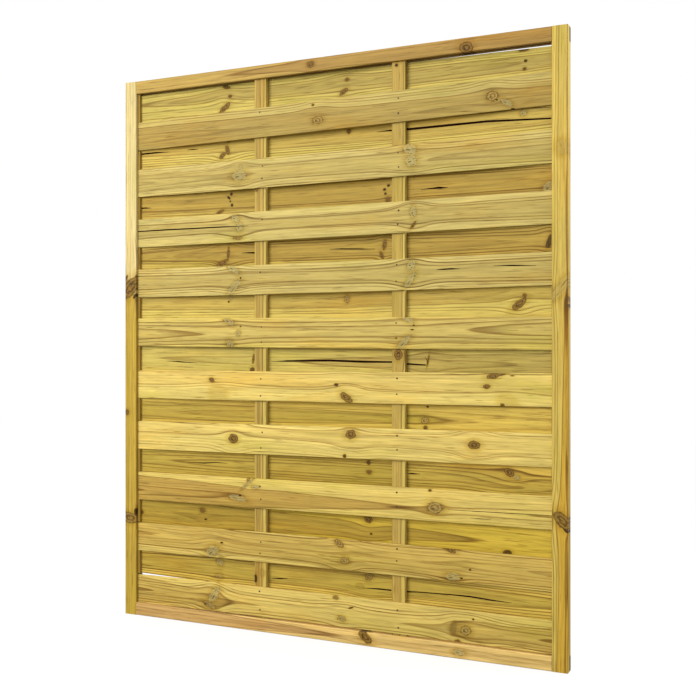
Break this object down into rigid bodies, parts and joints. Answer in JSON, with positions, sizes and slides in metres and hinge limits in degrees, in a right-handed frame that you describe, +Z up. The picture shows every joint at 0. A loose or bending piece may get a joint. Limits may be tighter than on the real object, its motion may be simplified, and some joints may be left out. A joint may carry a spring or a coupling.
{
  "type": "woven timber fence panel",
  "caption": "Tall framed fence panel of thin horizontal boards woven in front of and behind upright battens, in treated softwood.",
  "frame": {"origin": "centre of the left stile's outer side face, where the panel is fixed to its post", "axes": "+X along the panel's width to the right stile, +Y from the front to the back, +Z up"},
  "size_m": [1.5, 0.038, 1.8],
  "materials": {
    "stiles": "sawn, pressure-treated softwood",
    "rails": "sawn, pressure-treated softwood",
    "battens": "sawn, pressure-treated softwood",
    "front_slats": "sawn, pressure-treated softwood",
    "back_slats": "sawn, pressure-treated softwood",
    "spacers": "sawn, pressure-treated softwood"
  },
  "bodies": {
    "root": {"left_stile": "stiles", "right_stile": "stiles", "top_rail": "rails", "bottom_rail": "rails", "middle_batten_1": "battens", "middle_batten_2": "battens", "front_slat_1": "front_slats", "front_slat_2": "front_slats", "front_slat_3": "front_slats", "front_slat_4": "front_slats", "front_slat_5": "front_slats", "front_slat_6": "front_slats", "front_slat_7": "front_slats", "front_slat_8": "front_slats", "front_slat_9": "front_slats", "front_slat_10": "front_slats", "back_slat_1": "back_slats", "back_slat_2": "back_slats", "back_slat_3": "back_slats", "back_slat_4": "back_slats", "back_slat_5": "back_slats", "back_slat_6": "back_slats", "back_slat_7": "back_slats", "back_slat_8": "back_slats", "back_slat_9": "back_slats", "back_slat_10": "back_slats", "front_spacers_left": "spacers", "back_spacers_left": "spacers", "front_spacers_right": "spacers", "back_spacers_right": "spacers"}
  },
  "joints": []
}
